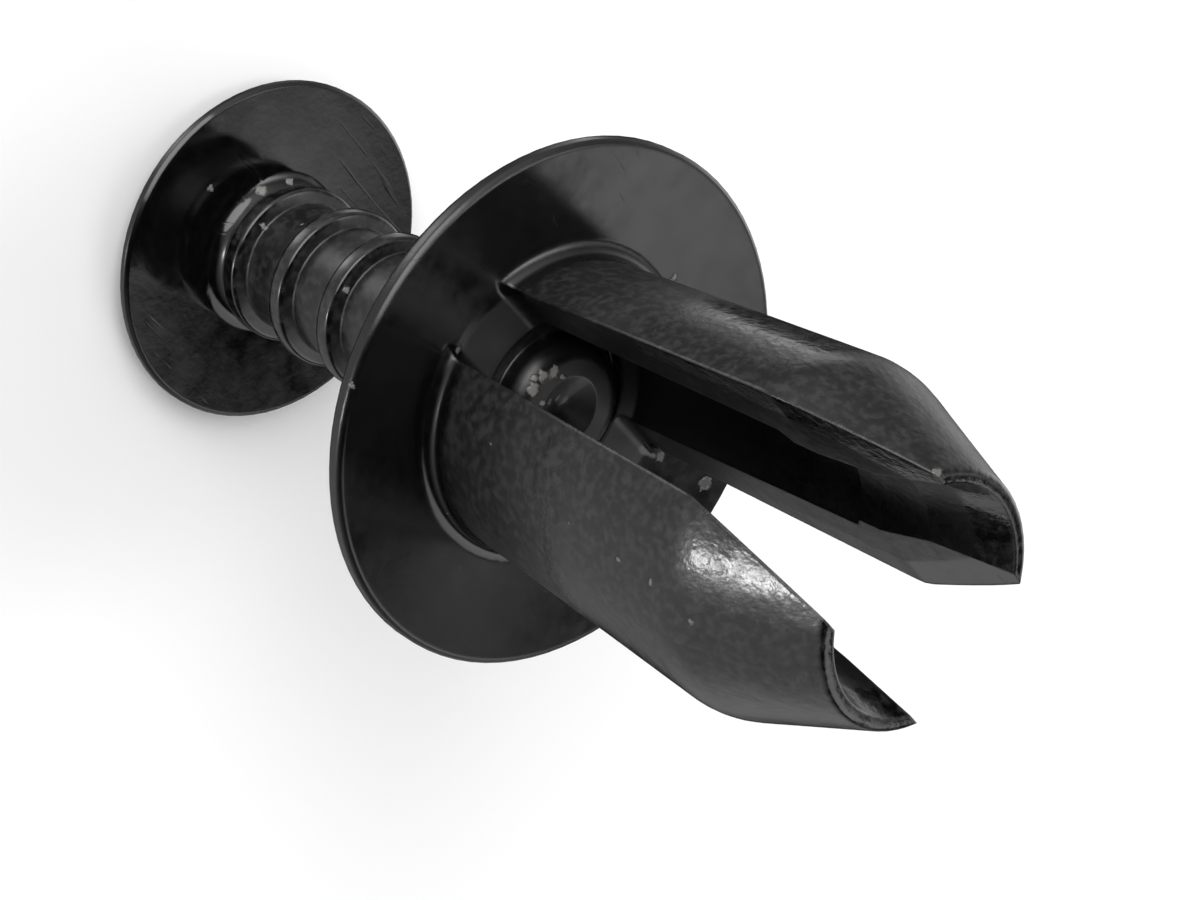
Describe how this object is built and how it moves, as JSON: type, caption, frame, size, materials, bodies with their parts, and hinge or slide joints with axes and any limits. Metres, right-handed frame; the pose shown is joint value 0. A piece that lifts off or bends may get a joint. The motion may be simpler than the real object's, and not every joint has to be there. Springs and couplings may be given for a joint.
{
  "type": "plastic push rivet",
  "caption": "Round-flanged push rivet with a split barrel that flares and tapers, and a ribbed pin with a round head, drawn out along the axis.",
  "frame": {"origin": "centre of the flat crown of the pin's head, which the rivet stands on", "axes": "+Z along the rivet from the head to the ends of the legs; the legs lie on +X and -X and the slots open on +Y and -Y"},
  "size_m": [0.014, 0.014, 0.0265],
  "materials": {
    "body_plastic": "black moulded nylon, satin",
    "pin_plastic": "black moulded nylon, satin"
  },
  "bodies": {
    "rivet_body": {"rivet_body": "body_plastic"},
    "push_pin": {"push_pin": "pin_plastic"}
  },
  "joints": [
    {"name": "pin_push", "type": "slide", "parent": "rivet_body", "child": "push_pin", "axis": [0, 0, 1], "range_m": [0, 0.01143]}
  ]
}
